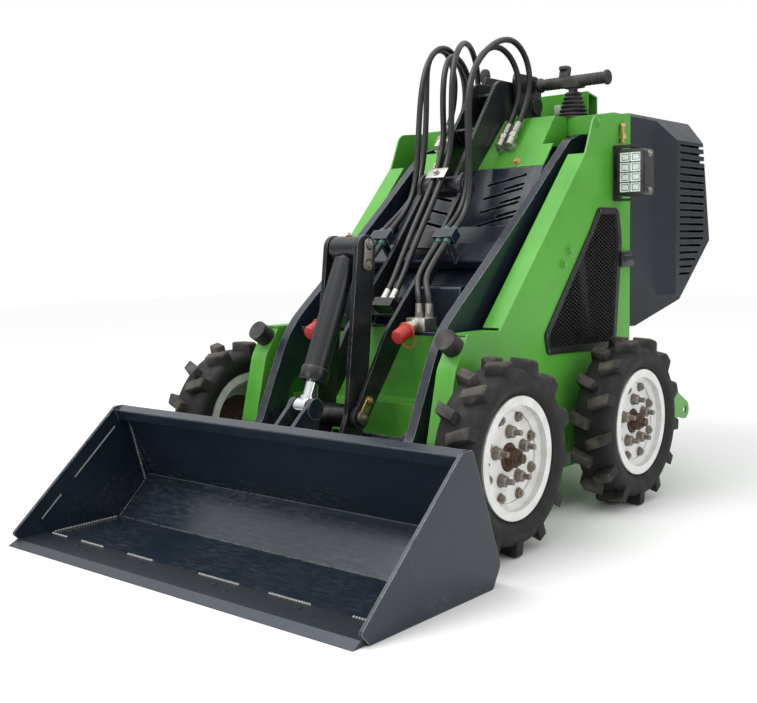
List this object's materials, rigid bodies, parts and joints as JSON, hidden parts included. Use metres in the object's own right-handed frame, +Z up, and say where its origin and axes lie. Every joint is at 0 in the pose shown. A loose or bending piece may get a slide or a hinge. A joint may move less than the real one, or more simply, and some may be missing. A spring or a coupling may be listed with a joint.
{
  "type": "compact skid steer loader",
  "caption": "Stand-on skid steer loader: bucket on two bent lift arms, level link, tilt cylinder, screened side towers and louvred rear cover.",
  "frame": {"origin": "on the floor, below the middle of the machine's length and width", "axes": "+X forward towards the bucket, +Y to the machine's left, +Z up"},
  "size_m": [1.998, 1.15, 1.3136],
  "materials": {
    "green_paint": "satin",
    "dark_paint": "satin",
    "black_steel": "satin",
    "white_paint": "satin",
    "tyre_rubber": "matte",
    "rusty_iron": "matte",
    "chrome_rod": "polished",
    "zinc": "satin",
    "worn_steel": "worn",
    "black_rubber": "matte",
    "lamp_plastic": "gloss",
    "engine_iron": "matte"
  },
  "bodies": {
    "chassis": {"drive_motors": "rusty_iron", "chassis_tub": "green_paint", "tower_left": "green_paint", "tower_right": "green_paint", "grille_left": "black_steel", "grille_right": "black_steel", "hood_lower": "dark_paint", "hood_slotted": "dark_paint", "hood_upper": "green_paint", "dash_panel": "green_paint", "rear_cover": "dark_paint", "engine_block": "engine_iron", "rear_step": "green_paint", "link_bracket": "black_steel", "drive_handle": "black_rubber", "joystick": "black_rubber", "grab_bar": "black_steel", "work_lamps": "lamp_plastic", "bump_stops": "black_rubber", "hydraulic_ports": "zinc", "hose_left_outer": "black_rubber", "hose_left_inner": "black_rubber", "hose_right_inner": "black_rubber", "hose_right_outer": "black_rubber", "hose_link_upper": "black_rubber", "hose_link_lower": "black_rubber"},
    "lift_arms": {"lift_arms": "dark_paint", "aux_couplers": "zinc"},
    "level_link": {"level_link": "black_steel"},
    "lever": {"lever": "black_steel"},
    "bucket": {"bucket": "dark_paint", "bucket_edge": "worn_steel", "bucket_hitch": "dark_paint"},
    "tilt_barrel": {"tilt_barrel": "black_steel"},
    "tilt_rod": {"tilt_rod": "chrome_rod"},
    "lift_barrel_left": {"lift_barrel_left": "black_steel"},
    "lift_rod_left": {"lift_rod_left": "chrome_rod"},
    "lift_barrel_right": {"lift_barrel_right": "black_steel"},
    "lift_rod_right": {"lift_rod_right": "chrome_rod"},
    "wheel_front_left": {"tyre_front_left": "tyre_rubber", "rim_front_left": "white_paint", "hub_front_left": "rusty_iron"},
    "wheel_front_right": {"tyre_front_right": "tyre_rubber", "rim_front_right": "white_paint", "hub_front_right": "rusty_iron"},
    "wheel_rear_left": {"tyre_rear_left": "tyre_rubber", "rim_rear_left": "white_paint", "hub_rear_left": "rusty_iron"},
    "wheel_rear_right": {"tyre_rear_right": "tyre_rubber", "rim_rear_right": "white_paint", "hub_rear_right": "rusty_iron"}
  },
  "joints": [
    {"name": "lift", "type": "hinge", "parent": "chassis", "child": "lift_arms", "pos_m": [-0.369, 0, 0.955], "axis": [0, -1, 0], "range_deg": [0, 70], "deforming": ["hose_left_outer", "hose_left_inner", "hose_right_inner", "hose_right_outer"]},
    {"name": "level_link_turn", "type": "hinge", "parent": "chassis", "child": "level_link", "pos_m": [-0.453, 0, 1.136], "axis": [0, -1, 0], "range_deg": [0, 70], "deforming": ["hose_link_upper", "hose_link_lower"]},
    {"name": "lever_turn", "type": "hinge", "parent": "lift_arms", "child": "lever", "pos_m": [0.481, 0, 0.115], "axis": [0, -1, 0], "range_deg": [-70, 0]},
    {"name": "bucket_tilt", "type": "hinge", "parent": "lever", "child": "bucket", "pos_m": [0.481, 0, 0.115], "axis": [0, -1, 0], "range_deg": [-45, 12]},
    {"name": "tilt_barrel_turn", "type": "hinge", "parent": "lever", "child": "tilt_barrel", "pos_m": [0.346, 0, 0.715], "axis": [0, -1, 0], "range_deg": [-2.9, 10.85]},
    {"name": "tilt_rod_slide", "type": "slide", "parent": "tilt_barrel", "child": "tilt_rod", "axis": [0.4138, 0, -0.9104], "range_m": [-0.0351, 0.1313]},
    {"name": "lift_barrel_left_turn", "type": "hinge", "parent": "chassis", "child": "lift_barrel_left", "pos_m": [-0.449, 0.255, 0.28], "axis": [0, -1, 0], "range_deg": [-11.25, 0.05]},
    {"name": "lift_rod_left_slide", "type": "slide", "parent": "lift_barrel_left", "child": "lift_rod_left", "axis": [0.2182, 0, 0.9759], "range_m": [0, 0.1687]},
    {"name": "lift_barrel_right_turn", "type": "hinge", "parent": "chassis", "child": "lift_barrel_right", "pos_m": [-0.449, -0.255, 0.28], "axis": [0, -1, 0], "range_deg": [-11.25, 0.05]},
    {"name": "lift_rod_right_slide", "type": "slide", "parent": "lift_barrel_right", "child": "lift_rod_right", "axis": [0.2182, 0, 0.9759], "range_m": [0, 0.1687]},
    {"name": "front_left_spin", "type": "hinge", "parent": "chassis", "child": "wheel_front_left", "pos_m": [0.331, 0.4455, 0.23], "axis": [0, 1, 0], "continuous": true},
    {"name": "front_right_spin", "type": "hinge", "parent": "chassis", "child": "wheel_front_right", "pos_m": [0.331, -0.4455, 0.23], "axis": [0, 1, 0], "continuous": true},
    {"name": "rear_left_spin", "type": "hinge", "parent": "chassis", "child": "wheel_rear_left", "pos_m": [-0.29, 0.4455, 0.23], "axis": [0, 1, 0], "continuous": true},
    {"name": "rear_right_spin", "type": "hinge", "parent": "chassis", "child": "wheel_rear_right", "pos_m": [-0.29, -0.4455, 0.23], "axis": [0, 1, 0], "continuous": true}
  ],
  "couplings": [
    {"joint": "level_link_turn", "follows": "lift", "ratio": 1},
    {"joint": "lever_turn", "follows": "lift", "ratio": -1},
    {"joint": "tilt_barrel_turn", "follows": "bucket_tilt", "ratio": -0.24},
    {"joint": "tilt_rod_slide", "follows": "bucket_tilt", "m_per_rad": -0.167},
    {"joint": "lift_barrel_left_turn", "follows": "lift", "ratio": -0.16},
    {"joint": "lift_rod_left_slide", "follows": "lift", "m_per_rad": 0.138},
    {"joint": "lift_barrel_right_turn", "follows": "lift", "ratio": -0.16},
    {"joint": "lift_rod_right_slide", "follows": "lift", "m_per_rad": 0.138}
  ]
}
